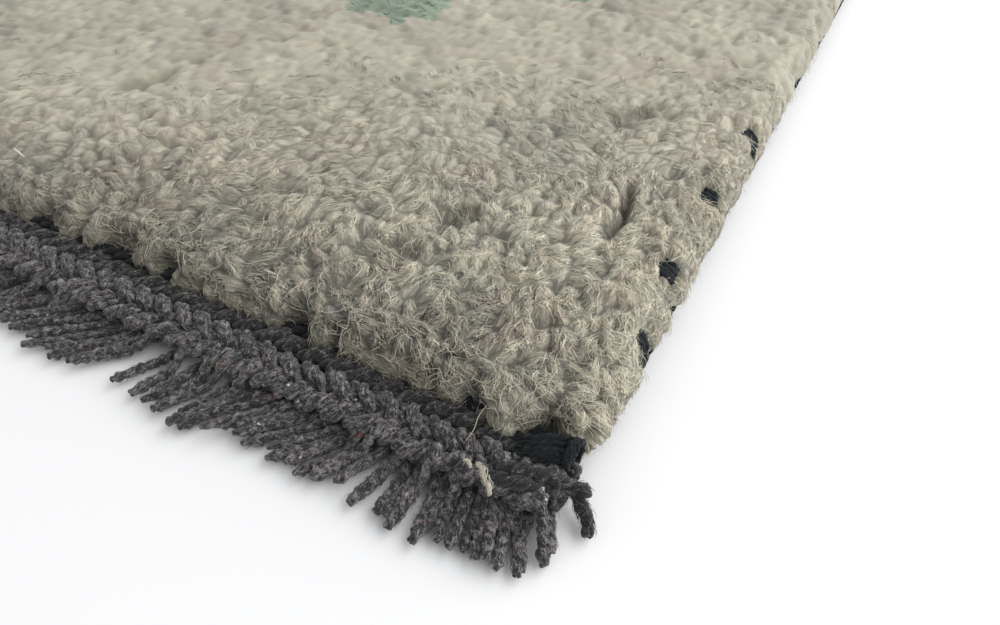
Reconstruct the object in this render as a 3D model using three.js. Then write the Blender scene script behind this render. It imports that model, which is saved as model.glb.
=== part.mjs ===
// A small hand-knotted wool rug with a thick cut pile, lying flat.
// Lengths are millimetres and angles are radians. X runs across the rug, Y along its warps, Z up.
// The origin is on the floor under the middle of the rug. The front end faces -Y.

import * as THREE from "three";

// Driving sizes of the rug
const PILE_WIDTH = 600; // over the overhanging tufts at both sides
const PILE_LENGTH = 900; // over the overhanging tufts at both ends
const PILE_TOP = 17.4; // mean height of the pile
const TUCK_HEIGHT = 8.9; // underside of the tufts that overhang the edges
const SIDE_TUCK = 9.5; // how far the ground stands back under the side tufts
const END_TUCK = 5; // how far the ground stands back under the end tufts
const GAP = 0.3; // clearance between neighbouring pieces

// Driving sizes of the edge finishes
const SELVEDGE_THICK = 7.6;
const WRAP_PITCH = 33; // distance between the dark overcast wraps
const WRAP_SWELL = 0.05; // share by which a wrap thickens the cord
const PLAIT_WIDTH = 18.4; // a quarter of it lies under the overhanging tufts
const PLAIT_SHORT = 3; // the plait stops this far inside the widest side tufts
const PLAIT_THICK = 5.6;
const PLAIT_CROSSING = 13; // length of one crossing of the plait
const PLAIT_SCALLOP = 0.06; // share by which each crossing bulges

// Driving sizes of the fringe
const YARN_THICK = 2.6;
const KNOT_PITCH = 6.5; // one knot ties a pair of warps
const SPINE_INSET = 3; // the comb's spine ends this far inside the plait's outer edge
const TOOTH_SHARE = 0.74; // width of a pair of warps as a share of the pitch
const TIP_SHARE = 0.8; // width of its cut tip as a share of its root

// Colours, roughness and names of the finishes
const FINISHES = {
  pile: { color: 0xaaa699, roughness: 0.96 },
  selvedge: { color: 0x2a2d2f, roughness: 0.92 },
  plait: { color: 0x433f40, roughness: 0.95 },
  fringe: { color: 0x4a4846, roughness: 0.95 },
};

// Side view of the pile's edge from the floor up: how far each level stands back from the widest tufts,
// and how much of the edge's waviness it takes
const EDGE_PROFILE = [
  { height: 0, side: SIDE_TUCK, end: END_TUCK, wavy: 0 },
  { height: TUCK_HEIGHT, side: SIDE_TUCK, end: END_TUCK, wavy: 0 },
  { height: TUCK_HEIGHT + 0.9, side: 1.6, end: 1.6, wavy: 0.6 },
  { height: 13, side: 0, end: 0, wavy: 1 },
  { height: 16.2, side: 3.2, end: 3.4, wavy: 1 },
  { height: PILE_TOP, side: 10, end: 10, wavy: 0.5 },
];
const CORNER_PULL = 3.2; // the corner tufts stand back diagonally by this
const EDGE_WAVES = [
  { length: 87, size: 0.5, phase: 0.4 },
  { length: 41, size: 0.35, phase: 2.1 },
];

// Gentle swells of the pile: crest to crest length, height, and heading of the swell across the rug
const PILE_SWELLS = [
  { length: 310, size: 0.45, heading: 0.5, phase: 0.3 },
  { length: 170, size: 0.4, heading: 1.9, phase: 1.7 },
  { length: 96, size: 0.35, heading: 2.8, phase: 4.1 },
];
const BODY_CELLS = { across: 18, along: 27 };

// How the cut warps lie, from the end's right-hand corner as seen from outside: distance along the end,
// sideways slope (positive leans away from that corner) and reach beyond the plait
const FRINGE_LIE = [
  { along: 0, slope: -0.3, reach: 12.6 },
  { along: 14, slope: 0.1, reach: 13.4 },
  { along: 36, slope: 0.9, reach: 14.3 },
  { along: 80, slope: 0.6, reach: 13.2 },
  { along: 125, slope: 1.3, reach: 12 },
  { along: 220, slope: 0.7, reach: 13.6 },
  { along: 400, slope: 0.85, reach: 12.8 },
  { along: PILE_WIDTH, slope: 0.05, reach: 12.4 },
];
const FRINGE_SWAY = { slope: 0.07, reach: 0.7, teeth: 5.3 };

const halfWidth = PILE_WIDTH / 2;
const halfLength = PILE_LENGTH / 2;

function finish(name) {
  return new THREE.MeshStandardMaterial({ ...FINISHES[name], metalness: 0 });
}

function swell(x, y) {
  return PILE_SWELLS.reduce((sum, wave) => {
    const distance = x * Math.cos(wave.heading) + y * Math.sin(wave.heading);
    return sum + wave.size * Math.sin((2 * Math.PI * distance) / wave.length + wave.phase);
  }, 0);
}

function edgeWave(distance) {
  return EDGE_WAVES.reduce(
    (sum, wave) => sum + wave.size * Math.sin((2 * Math.PI * distance) / wave.length + wave.phase),
    0,
  );
}

// Moves every vertex of a geometry to the place that a function gives for it
function reshape(geometry, place) {
  const positions = geometry.attributes.position;
  const point = new THREE.Vector3();
  for (let i = 0; i < positions.count; i += 1) {
    point.fromBufferAttribute(positions, i);
    place(point);
    positions.setXYZ(i, point.x, point.y, point.z);
  }
  geometry.computeVertexNormals();
  return geometry;
}

// The rug's ground and pile: a flat block whose levels follow the edge profile and whose top swells
function rugBody() {
  const levels = EDGE_PROFILE.length - 1;
  const block = new THREE.BoxGeometry(2, 2, levels, BODY_CELLS.across, BODY_CELLS.along, levels);
  reshape(block, (point) => {
    const level = EDGE_PROFILE[Math.round(point.z + levels / 2)];
    const across = point.x;
    const along = point.y;
    const corner = Math.abs(across * along) > 0.99 ? CORNER_PULL * Math.sign(level.wavy) : 0;
    const sideWave = level.wavy * edgeWave(along * halfLength * Math.sign(across));
    const endWave = level.wavy * edgeWave(across * halfWidth * Math.sign(along) + halfLength);
    point.x = across * (halfWidth - level.side - corner + Math.min(0, sideWave));
    point.y = along * (halfLength - level.end - corner + Math.min(0, endWave));
    point.z = level.height;
    if (level.height === PILE_TOP) {
      point.z += swell(point.x, point.y);
    }
  });
  return block;
}

// A cord of oval section along Y, closed at both ends, whose size swells along it
function cord({ length, width, thick, sides, steps, swelling }) {
  const round = new THREE.CylinderGeometry(1, 1, length, sides, steps);
  return reshape(round, (point) => {
    const growth = 1 + swelling(point.y, point.x);
    point.x *= (width / 2) * growth;
    point.z *= (thick / 2) * growth;
  });
}

function selvedge() {
  const length = PILE_LENGTH - 2 * END_TUCK;
  return cord({
    length,
    width: SELVEDGE_THICK,
    thick: SELVEDGE_THICK,
    sides: 6,
    steps: Math.round((2 * length) / WRAP_PITCH),
    swelling: (along) => -WRAP_SWELL * (0.5 - 0.5 * Math.cos((2 * Math.PI * along) / WRAP_PITCH)),
  });
}

// The flat plait: its two edges bulge in turn as the strands cross
function endPlait() {
  const length = PILE_WIDTH - 2 * PLAIT_SHORT;
  return cord({
    length,
    width: PLAIT_WIDTH,
    thick: PLAIT_THICK,
    sides: 8,
    steps: Math.round((2 * length) / PLAIT_CROSSING),
    swelling: (along, side) => {
      const bulge = side * Math.sin((2 * Math.PI * along) / PLAIT_CROSSING);
      return -PLAIT_SCALLOP * (0.5 + 0.5 * bulge);
    },
  });
}

// Slope and reach of the fringe at a distance along the end, between the rows of its table
function fringeLie(along) {
  const after = Math.max(1, FRINGE_LIE.findIndex((row) => row.along >= along));
  const from = FRINGE_LIE[after - 1];
  const to = FRINGE_LIE[after];
  const share = (along - from.along) / (to.along - from.along);
  return {
    slope: THREE.MathUtils.lerp(from.slope, to.slope, share),
    reach: THREE.MathUtils.lerp(from.reach, to.reach, share),
  };
}

// One end's cut warps as a comb: a spine under the plait and a slanting tooth for each pair of warps
function fringe(spineOuter, plaitOuter, phase) {
  const spineInner = halfLength - END_TUCK + GAP;
  const count = Math.floor((PILE_WIDTH - 2 * SIDE_TUCK) / KNOT_PITCH);
  const start = (count * KNOT_PITCH) / 2;
  const outline = new THREE.Shape();
  outline.moveTo(-start, -spineInner);
  outline.lineTo(-start, -spineOuter);
  for (let tooth = count - 1; tooth >= 0; tooth -= 1) {
    const middle = start - (tooth + 0.5) * KNOT_PITCH;
    const lie = fringeLie(start - middle);
    const sway = Math.sin((2 * Math.PI * tooth) / FRINGE_SWAY.teeth + phase);
    const reach = lie.reach + FRINGE_SWAY.reach * Math.sin(2.4 * tooth + phase);
    const tipY = plaitOuter + reach;
    const tipX = middle - (lie.slope + FRINGE_SWAY.slope * sway) * (tipY - spineOuter);
    const rootHalf = (TOOTH_SHARE * KNOT_PITCH) / 2;
    const tipHalf = rootHalf * TIP_SHARE;
    outline.lineTo(middle - rootHalf, -spineOuter);
    outline.lineTo(tipX - tipHalf, -tipY);
    outline.lineTo(tipX + tipHalf, -tipY);
    outline.lineTo(middle + rootHalf, -spineOuter);
  }
  outline.lineTo(start, -spineOuter);
  outline.lineTo(start, -spineInner);
  outline.closePath();
  return new THREE.ExtrudeGeometry(outline, { depth: YARN_THICK, steps: 1, bevelEnabled: false });
}

const rug = new THREE.Group();

const body = new THREE.Mesh(rugBody(), finish("pile"));
body.name = "rug_body";
rug.add(body);

const selvedgeX = halfWidth - SIDE_TUCK + GAP + SELVEDGE_THICK / 2;
const SIDES = [
  { name: "right", sign: 1 },
  { name: "left", sign: -1 },
];
for (const side of SIDES) {
  const edge = new THREE.Mesh(selvedge(), finish("selvedge"));
  edge.name = `selvedge_${side.name}`;
  edge.position.set(side.sign * selvedgeX, 0, GAP + SELVEDGE_THICK / 2);
  rug.add(edge);
}

const plaitInner = halfLength - END_TUCK + GAP;
const plaitOuter = plaitInner + PLAIT_WIDTH;
const ENDS = [
  { name: "front", turn: 0, phase: 0.6 },
  { name: "back", turn: Math.PI, phase: 2.9 },
];
for (const end of ENDS) {
  const group = new THREE.Group();
  group.rotation.z = end.turn;

  const plait = new THREE.Mesh(endPlait(), finish("plait"));
  plait.name = `end_plait_${end.name}`;
  plait.rotation.z = Math.PI / 2;
  plait.position.set(0, -(plaitInner + plaitOuter) / 2, YARN_THICK + GAP + PLAIT_THICK / 2);
  group.add(plait);

  const comb = new THREE.Mesh(fringe(plaitOuter - SPINE_INSET, plaitOuter, end.phase), finish("fringe"));
  comb.name = `fringe_${end.name}`;
  group.add(comb);
  rug.add(group);
}

export default rug;
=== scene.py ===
# A small hand-knotted wool rug with a thick cut pile, dark selvedges, charcoal end plaits and a cut fringe.
# Shapes are worked out in millimetres and become metres when a piece is made. The rug lies on z = 0,
# X runs across it and Y along its warps. The finest work is at the front right corner, at +X and -Y.
import math

import bpy
import numpy as np
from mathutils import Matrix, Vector


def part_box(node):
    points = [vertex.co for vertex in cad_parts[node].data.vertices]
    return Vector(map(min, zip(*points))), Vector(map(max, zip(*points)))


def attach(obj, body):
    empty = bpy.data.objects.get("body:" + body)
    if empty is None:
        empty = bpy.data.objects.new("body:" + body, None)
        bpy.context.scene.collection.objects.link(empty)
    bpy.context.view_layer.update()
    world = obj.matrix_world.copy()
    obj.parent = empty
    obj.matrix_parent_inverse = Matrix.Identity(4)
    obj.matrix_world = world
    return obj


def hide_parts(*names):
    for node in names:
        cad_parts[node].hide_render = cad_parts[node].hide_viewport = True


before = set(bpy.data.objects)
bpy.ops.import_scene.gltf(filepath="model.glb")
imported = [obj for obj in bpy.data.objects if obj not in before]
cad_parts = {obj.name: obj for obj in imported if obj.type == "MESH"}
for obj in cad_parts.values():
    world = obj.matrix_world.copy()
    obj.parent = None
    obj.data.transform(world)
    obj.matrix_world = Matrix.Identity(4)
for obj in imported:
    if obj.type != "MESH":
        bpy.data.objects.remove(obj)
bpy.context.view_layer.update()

MM = 0.001
TAU = 2 * math.pi
DRAWS = np.random.default_rng(48210)


def box_mm(node):
    """Lowest and highest corner of a node of the frame, in millimetres"""
    low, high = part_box(node)
    return np.array(low) / MM, np.array(high) / MM


_, body_high = box_mm("rug_body")
cord_low, cord_high = box_mm("selvedge_right")
_, plait_high = box_mm("end_plait_front")

# Sizes of the rug: its ground, and the mean top and the underside of its pile
HALF_WIDTH = body_high[0]
HALF_LENGTH = body_high[1]
CLEARANCE = 0.3
GROUND_HALF_WIDTH = cord_low[0] - CLEARANCE
GROUND_HALF_LENGTH = -plait_high[1] - CLEARANCE
GROUND_TOP = 7.8
PILE_TOP = 17.4
PILE_FLOOR = 8.5

# Each knot has a few curls, each a soft dome that falls away from its middle and tilts the way it lies
KNOT = 6.5
CURLS = 3
DOME_DROP = 1.5
DOME_TILT = 0.14
DOME_BLEND = 2.0
TUFT_LONG = (2.6, 4.2)
TUFT_WIDE = (1.3, 2.1)

# How unevenly the knots are tied, which way the whole pile flows and leans, and how far the curls of a knot
# slip along their own way and spread across it
KNOT_JITTER = 0.9
PILE_FLOW = 0.15 - TAU / 4
PILE_LEAN = 2.3
CURL_SLIP = 2.4
CURL_SPREAD = 2.2

# The pile is cut to a level, its pits are filled softly, and its felted body lies just under the fibres
SHEAR_LEVEL = 17.7
SHEAR_SOFT = 2.0
FILLED_TO = 14.6
FILL_SOFT = 0.8
SKIN_UNDER = 0.4
SKIN_FELTED = 0.3

# Far from the camera, between these depths, the pile gets calmer, duller and more even, darker with painted
# shade for the relief it loses, and with its painted valley shade evened out
FAR_FROM = (165, 285)
FAR_CALM = 0.42
FAR_PAINTED_SHADE = -1.15
FAR_RISE = 0.62
FAR_RISE_SHARE = 0.6

# The pile is laid out flat as far as LAID, then rolled down over the edges from ROLL_FROM. A finer grid
# covers FINE_AREA, given from the front right corner. Cells are the first and the last one's size.
LAID = (307.5, 456.8)
ROLL_FROM = (290.3, 442.2)
ROLL_RADIUS = 9.2
ROUNDING = 6.0
FINE_AREA = (-285, 236)
FINE_CELLS = (0.72, 1.5)
COARSE_CELLS = (3.4, 3.4)
BACK_CELLS = (3.9, 3.9)
CORNER = np.array([HALF_WIDTH - 2, -HALF_LENGTH - 2, 10.0])

# The camera, as the photograph was taken: a wide lens close to the corner
LENS = 28.44
CAMERA_PITCH = math.radians(44.4)
CAMERA_TURN = math.radians(28.3)
CAMERA_FROM_CORNER = np.array([28.2, -87.6, 129.1])
CAMERA_PLACE = CORNER + CAMERA_FROM_CORNER
SENSOR_WIDTH = 36.0
VIEW_HALF = (0.633, 0.396)
VIEW_MARGIN = 14

# Fibres have few stations and their shading leans to the pile around them. Yarns have two plies.
FIBRE_STATIONS = 4
SOFTNESS = 0.6
PLIES = 2
UP = (0.0, 0.0, 1.0)


# Arrays: noise, tubes and yarns

def lattice(i, j, seed):
    """A fixed draw between -1 and 1 for each corner of a square lattice"""
    raw = np.sin(i * 127.1 + j * 311.7 + seed * 74.7) * 43758.5453
    return 2 * (raw - np.floor(raw)) - 1


def lumps(x, y, size, seed):
    """Smooth noise between -1 and 1 with lumps of the given size"""
    u, v = x / size, y / size
    i, j = np.floor(u), np.floor(v)
    f, g = u - i, v - j
    f, g = f * f * (3 - 2 * f), g * g * (3 - 2 * g)
    low = lattice(i, j, seed) * (1 - f) + lattice(i + 1, j, seed) * f
    high = lattice(i, j + 1, seed) * (1 - f) + lattice(i + 1, j + 1, seed) * f
    return low * (1 - g) + high * g


def ease(low, high, value):
    """Zero below low, one above high, smooth between"""
    share = np.clip((value - low) / (high - low), 0, 1)
    return share * share * (3 - 2 * share)


def unit(vectors):
    """The same directions, each one long"""
    return vectors / np.maximum(np.linalg.norm(vectors, axis=-1, keepdims=True), 1e-9)


def cross_frame(paths, toward):
    """Two directions square to each path at each station, the second nearest to toward"""
    along = unit(np.gradient(paths, axis=1))
    side = unit(np.cross(along, np.broadcast_to(toward, paths.shape)))
    over = np.cross(side, along)
    return side, over


def by_station(value, stations):
    """Values at every station, from one value for each strand or one for each station already"""
    value = np.asarray(value, float)
    return np.repeat(value[:, None], stations, axis=1) if value.ndim == 1 else value


def apart(count):
    """A place for each strand of its own in the noise of its material"""
    return np.arange(count) * 3.17 % 97


def walls(here):
    """Four-cornered faces between rings of points, (rings, sides)"""
    beside = np.roll(here, -1, axis=1)
    return np.stack([here[:-1], here[1:], beside[1:], beside[:-1]], axis=-1).reshape(-1, 4)


def tubes(paths, radii, sides, **marks):
    """Tubes around many centre lines at once, closed with flat ends.

    paths is (count, stations, 3) and radii (count, stations). Each of the marks is a value for each tube
    or for each of its stations, kept on the points.
    """
    count, stations, _ = paths.shape
    side, over = cross_frame(paths, UP)
    angle = TAU * (np.arange(sides) + 0.5) / sides
    ring = np.cos(angle)[:, None] * side[:, :, None] + np.sin(angle)[:, None] * over[:, :, None]
    points = paths[:, :, None] + radii[:, :, None, None] * ring

    size = stations * sides
    here = np.arange(size).reshape(stations, sides)
    quads = walls(here)
    fans = [[end[0], end[k], end[k + 1]] for end in (here[0], here[-1][::-1]) for k in range(1, sides - 1)]
    triangles = np.array(fans)
    turn = np.arange(sides + 1) / sides
    length = np.linspace(0, 1, stations)
    a, b = np.meshgrid(np.arange(stations - 1), np.arange(sides), indexing="ij")
    quad_uv = np.stack([
        np.stack([length[a], turn[b]], -1), np.stack([length[a + 1], turn[b]], -1),
        np.stack([length[a + 1], turn[b + 1]], -1), np.stack([length[a], turn[b + 1]], -1),
    ], axis=2).reshape(-1, 4, 2)
    triangle_uv = np.zeros((len(fans), 3, 2))

    shift = (np.arange(count) * size)[:, None, None]
    travelled = np.linalg.norm(np.diff(paths, axis=1), axis=2).sum(axis=1)
    stretch = np.stack([travelled, np.ones(count)], -1)[:, None, None]
    offset = np.stack([np.zeros(count), apart(count)], -1)[:, None, None]
    return {
        "points": points.reshape(-1, 3),
        "soft": None,
        "quads": (quads[None] + shift).reshape(-1, 4),
        "triangles": (triangles[None] + shift).reshape(-1, 3),
        "quad_uv": (quad_uv[None] * stretch + offset).reshape(-1, 2),
        "triangle_uv": (triangle_uv[None] * stretch + offset).reshape(-1, 2),
        "marks": {
            name: np.repeat(by_station(value, stations), sides, axis=1).reshape(-1)
            for name, value in marks.items()},
    }


def wound(paths, offset, twist, start=0.0, flat=1.0):
    """Centre lines of two plies that wind round each path once in every twist, all the first plies first"""
    step = np.linalg.norm(np.diff(paths, axis=1), axis=2)
    travelled = np.concatenate([np.zeros((len(paths), 1)), np.cumsum(step, axis=1)], axis=1)
    side, over = cross_frame(paths, UP)
    lines = []
    for ply in range(PLIES):
        angle = start + TAU * (travelled / twist + ply / PLIES)
        shift = np.cos(angle)[..., None] * side + flat * np.sin(angle)[..., None] * over
        lines.append(paths + shift * offset)
    return np.concatenate(lines)


def yarn(paths, radius, sides, twist, tone=0.0):
    """Plied yarn along each path, uneven in thickness: its tubes, then lines, radii and tones for fuzz"""
    start = DRAWS.uniform(0, TAU, (len(paths), 1))
    lines = wound(paths, 0.42 * radius, twist, start)
    swell = 1 + 0.14 * lumps(lines[..., 0] * 1.3 + lines[..., 2], lines[..., 1] * 1.3, 2.3, 5)
    radii = 0.66 * radius * swell * (1 + 0.08 * DRAWS.normal(0, 1, (len(lines), 1)))
    radii = radii * (1 + 0.09 * DRAWS.normal(0, 1, radii.shape))
    radii[:, -1] *= 0.5
    tones = np.broadcast_to(tone, (len(paths),)) + 0.35 * DRAWS.normal(0, 1, len(paths))
    tones = np.tile(tones, PLIES)
    return tubes(lines, radii, sides, tone=tones), lines, radii, tones


def new_piece(name, parts, finish, replaces=()):
    """Joins tubes or fibres into one mesh piece that lies on the rug"""
    points = np.concatenate([p["points"] for p in parts])
    starts = np.cumsum([0] + [len(p["points"]) for p in parts[:-1]])
    quads = np.concatenate([p["quads"] + s for p, s in zip(parts, starts)])
    triangles = np.concatenate([p["triangles"] + s for p, s in zip(parts, starts)])
    uv = np.concatenate([p["quad_uv"] for p in parts] + [p["triangle_uv"] for p in parts])
    mesh = bpy.data.meshes.new(name)
    mesh.vertices.add(len(points))
    mesh.vertices.foreach_set("co", (points * MM).astype(np.float32).ravel())
    mesh.loops.add(quads.size + triangles.size)
    corner = np.concatenate([quads.ravel(), triangles.ravel()])
    mesh.loops.foreach_set("vertex_index", corner.astype(np.int32))
    mesh.polygons.add(len(quads) + len(triangles))
    around = np.concatenate([np.full(len(quads), 4), np.full(len(triangles), 3)])
    mesh.polygons.foreach_set("loop_start", (np.cumsum(around) - around).astype(np.int32))
    mesh.polygons.foreach_set("use_smooth", np.ones(len(around), bool))
    mesh.uv_layers.new(name="strand").data.foreach_set("uv", uv.astype(np.float32).ravel())
    for mark in parts[0]["marks"]:
        values = np.concatenate([p["marks"][mark] for p in parts])
        mesh.attributes.new(mark, "FLOAT", "POINT").data.foreach_set("value", values.astype(np.float32))
    mesh.update(calc_edges=True)
    if parts[0]["soft"] is not None:
        own = np.empty(len(points) * 3, np.float32)
        mesh.vertex_normals.foreach_get("vector", own)
        soft = np.concatenate([p["soft"] for p in parts])
        leaning = own.reshape(-1, 3) * (1 - SOFTNESS) + soft * SOFTNESS
        mesh.normals_split_custom_set_from_vertices(unit(leaning))
    piece = bpy.data.objects.new(name, mesh)
    bpy.context.scene.collection.objects.link(piece)
    dress(piece, finish, replaces)
    return piece


def dress(piece, finish, replaces=()):
    """Gives a piece its finish and its place in the frame"""
    piece.data.materials.clear()
    piece.data.materials.append(finish)
    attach(piece, "root")
    for node in replaces:
        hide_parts(node)


# Shader maths

class Field:
    """A shader socket that arithmetic works on"""

    def __init__(self, finish, socket):
        self.finish = finish
        self.socket = socket

    def maths(self, operation, *others, clamp=False):
        settings = {"operation": operation, "use_clamp": clamp}
        return self.finish.node("ShaderNodeMath", settings, [self, *others])

    def __add__(self, other):
        return self.maths("ADD", other)

    __radd__ = __add__

    def __mul__(self, other):
        return self.maths("MULTIPLY", other)

    __rmul__ = __mul__

    def __sub__(self, other):
        return self.maths("SUBTRACT", other)

    def __rsub__(self, other):
        return self.finish.node("ShaderNodeMath", {"operation": "SUBTRACT"}, [other, self])

    def clamped(self):
        return self.maths("ADD", 0.0, clamp=True)

    def band(self, low, high):
        """Zero below low, one above high, smooth between"""
        return self.finish.node(
            "ShaderNodeMapRange", {"interpolation_type": "SMOOTHSTEP"},
            {"Value": self, "From Min": low, "From Max": high})


class Finish:
    """A material whose nodes are added by name, settings and inputs"""

    def __init__(self, name, roughness, sheen=0.0):
        self.material = bpy.data.materials.new(name)
        self.material.use_nodes = True
        self.tree = self.material.node_tree
        self.shader = self.tree.nodes["Principled BSDF"]
        self.shader.inputs["Roughness"].default_value = roughness
        self.shader.inputs["Specular IOR Level"].default_value = 0.2
        self.shader.inputs["Sheen Weight"].default_value = sheen
        self.shader.inputs["Sheen Roughness"].default_value = 0.6

    def feed(self, socket, value):
        if isinstance(value, Field):
            self.tree.links.new(value.socket, socket)
        else:
            socket.default_value = value

    def node(self, kind, settings, inputs, output=0):
        made = self.tree.nodes.new(kind)
        for name, value in settings.items():
            setattr(made, name, value)
        pairs = inputs.items() if isinstance(inputs, dict) else enumerate(inputs)
        for key, value in pairs:
            self.feed(made.inputs[key], value)
        return Field(self, made.outputs[output])

    def vectors(self, operation, inputs):
        return self.node("ShaderNodeVectorMath", {"operation": operation}, inputs)

    def mark(self, name):
        """One of the values that the piece keeps on its points"""
        return self.node("ShaderNodeAttribute", {"attribute_name": name}, {}, "Fac")

    def strand(self, along, around):
        """The piece's own coordinates along and around its strands, scaled"""
        uv = self.node("ShaderNodeUVMap", {"uv_map": "strand"}, {})
        return self.vectors("MULTIPLY", {0: uv, 1: (along, around, 1.0)})

    def place(self, scale):
        """The spot on the piece in metres, scaled"""
        spot = self.node("ShaderNodeTexCoord", {}, {}, "Object")
        return self.vectors("SCALE", {0: spot, "Scale": scale})

    def axis(self, name):
        """How far along an axis of the piece the spot is, in metres"""
        return self.node("ShaderNodeSeparateXYZ", {}, {0: self.place(1.0)}, name)

    def noise(self, where, scale=1.0, detail=2.0, distortion=0.0):
        return self.node("ShaderNodeTexNoise", {}, {
            "Vector": where, "Scale": scale, "Detail": detail, "Distortion": distortion})

    def mix(self, share, first, second):
        """The first colour changing to the second by a share; 6, 7 and 2 are the node's colour sockets"""
        return self.node("ShaderNodeMix", {"data_type": "RGBA"}, {0: share, 6: first, 7: second}, 2)

    def shaded(self, colour, amount):
        """The colour times an amount"""
        return self.vectors("SCALE", {0: colour, "Scale": amount})

    def bump(self, height, strength, distance):
        inputs = {"Height": height, "Strength": strength, "Distance": distance}
        self.feed(self.shader.inputs["Normal"], self.node("ShaderNodeBump", {}, inputs))

    def coloured(self, colour):
        self.feed(self.shader.inputs["Base Color"], colour)
        return self.material


def rgb(red, green, blue):
    return (red, green, blue, 1.0)


# Colours of the wools and how they take the light
WOOL_ROUGHNESS = 0.95
SHEEN = 0.2
# Lightness of the wool down at its roots: painted shade for the valleys between the tufts
ROOT_PAINTED_SHADE = 0.5
TONE_SWING = 0.3
WARMTH_SWING = 0.8
GREIGE_COOL = rgb(0.605, 0.588, 0.463)
GREIGE_WARM = rgb(0.675, 0.6, 0.468)
SAGE_COOL = rgb(0.31, 0.43, 0.315)
SAGE_WARM = rgb(0.375, 0.44, 0.305)
CHARCOAL_DARK = rgb(0.012, 0.0112, 0.0113)
CHARCOAL_LIGHT = rgb(0.25, 0.232, 0.226)
TEAL_DARK = rgb(0.005, 0.007, 0.009)
TEAL_LIGHT = rgb(0.026, 0.036, 0.042)

# Specks in the yarns: colour, where their noise is taken and how rare they are
CHARCOAL_FLECKS = [
    (rgb(0.6, 0.57, 0.54), 3.0, 0.73),
    (rgb(0.3, 0.045, 0.04), 11.0, 0.735),
    (rgb(0.04, 0.07, 0.07), 23.0, 0.7),
]
TEAL_FLECKS = [(rgb(0.08, 0.08, 0.08), 5.0, 0.72)]
FLECK_SCALE = 420.0
FLECK_EDGE = 0.04

# How many lumps of noise there are to a metre
CLOUDS = 60.0
YARN_GRAIN = 2400.0
YARN_MELANGE = 800.0
CLOTH_FUZZ = 700.0


def warmth_of(wool):
    """The warmth of each lock under broad clouds"""
    clouds = wool.noise(wool.place(CLOUDS))
    return (wool.mark("warmth") + (clouds - 0.5) * WARMTH_SWING).clamped()


def lightness(wool, streaks):
    """Streaks, toned lock by lock, with painted shade at the roots down in the valleys"""
    root = ROOT_PAINTED_SHADE + (1.0 - ROOT_PAINTED_SHADE) * wool.mark("rise")
    return streaks * (1.0 + TONE_SWING * wool.mark("tone")) * root


def pile_finish(name, cool, warm):
    """Soft wool fibres, streaked, with painted shade at their roots, with locks that differ in tone and
    warmth
    """
    wool = Finish(name, WOOL_ROUGHNESS, SHEEN)
    fibres = wool.noise(wool.strand(0.16, 7.0))
    base = wool.mix(warmth_of(wool), cool, warm)
    streaks = 1.0 + (fibres - 0.5) * wool.mark("crisp") * 1.5
    wool.bump(fibres * wool.mark("crisp"), 0.5, 0.0004)
    return wool.coloured(wool.shaded(base, lightness(wool, streaks)))


def yarn_finish(name, dark, light, flecks, sheen):
    """Melange yarn: fine fibres, cloudy tone and specks of other colours"""
    yarn = Finish(name, WOOL_ROUGHNESS, sheen)
    fibres = yarn.noise(yarn.strand(0.5, 26.0), detail=3.0, distortion=0.8)
    grain = yarn.noise(yarn.place(YARN_GRAIN), detail=3.0)
    melange = yarn.noise(yarn.place(YARN_MELANGE), detail=3.0)
    share = (melange - 0.5) * 3.0 + (grain - 0.5) * 2.4 + (fibres - 0.5) * 2.4
    share = (share + 0.2 + 0.3 * yarn.mark("tone")).clamped()
    colour = yarn.mix(share, dark, light)
    for speck, where, rare in flecks:
        shifted = yarn.vectors("ADD", {0: yarn.place(1.0), 1: (where, where, 0.0)})
        spots = yarn.noise(shifted, FLECK_SCALE)
        colour = yarn.mix(spots.band(rare, rare + FLECK_EDGE), colour, speck)
    yarn.bump(fibres + 0.5 * grain, 0.8, 0.0005)
    return yarn.coloured(yarn.shaded(colour, 0.1 + 1.8 * fibres))


def skin_finish(name):
    """The felted body of the pile: fibres run along each tuft, valleys get painted shade, flowers are green
    """
    wool = Finish(name, WOOL_ROUGHNESS, SHEEN)
    fine = wool.noise(wool.strand(0.35, 3.6), detail=3.0, distortion=1.1)
    broad = wool.noise(wool.strand(0.25, 1.1))
    warmth = warmth_of(wool)
    greige = wool.mix(warmth, GREIGE_COOL, GREIGE_WARM)
    sage = wool.mix(warmth, SAGE_COOL, SAGE_WARM)
    crisp = wool.mark("crisp")
    streaks = 1.0 + ((fine - 0.5) * 2.6 + (broad - 0.5) * 0.9) * crisp
    wool.bump((fine + broad) * crisp, 0.9, 0.0008)
    base = wool.mix(wool.mark("green"), greige, sage)
    return wool.coloured(wool.shaded(base, lightness(wool, streaks)))


greige_wool = pile_finish("greige_wool_pile", GREIGE_COOL, GREIGE_WARM)
sage_wool = pile_finish("sage_wool_pile", SAGE_COOL, SAGE_WARM)
skin_wool = skin_finish("felted_wool_pile")
charcoal_wool = yarn_finish("charcoal_melange_yarn", CHARCOAL_DARK, CHARCOAL_LIGHT, CHARCOAL_FLECKS, 0.25)
teal_wool = yarn_finish("dark_teal_yarn", TEAL_DARK, TEAL_LIGHT, TEAL_FLECKS, 0.08)


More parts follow.
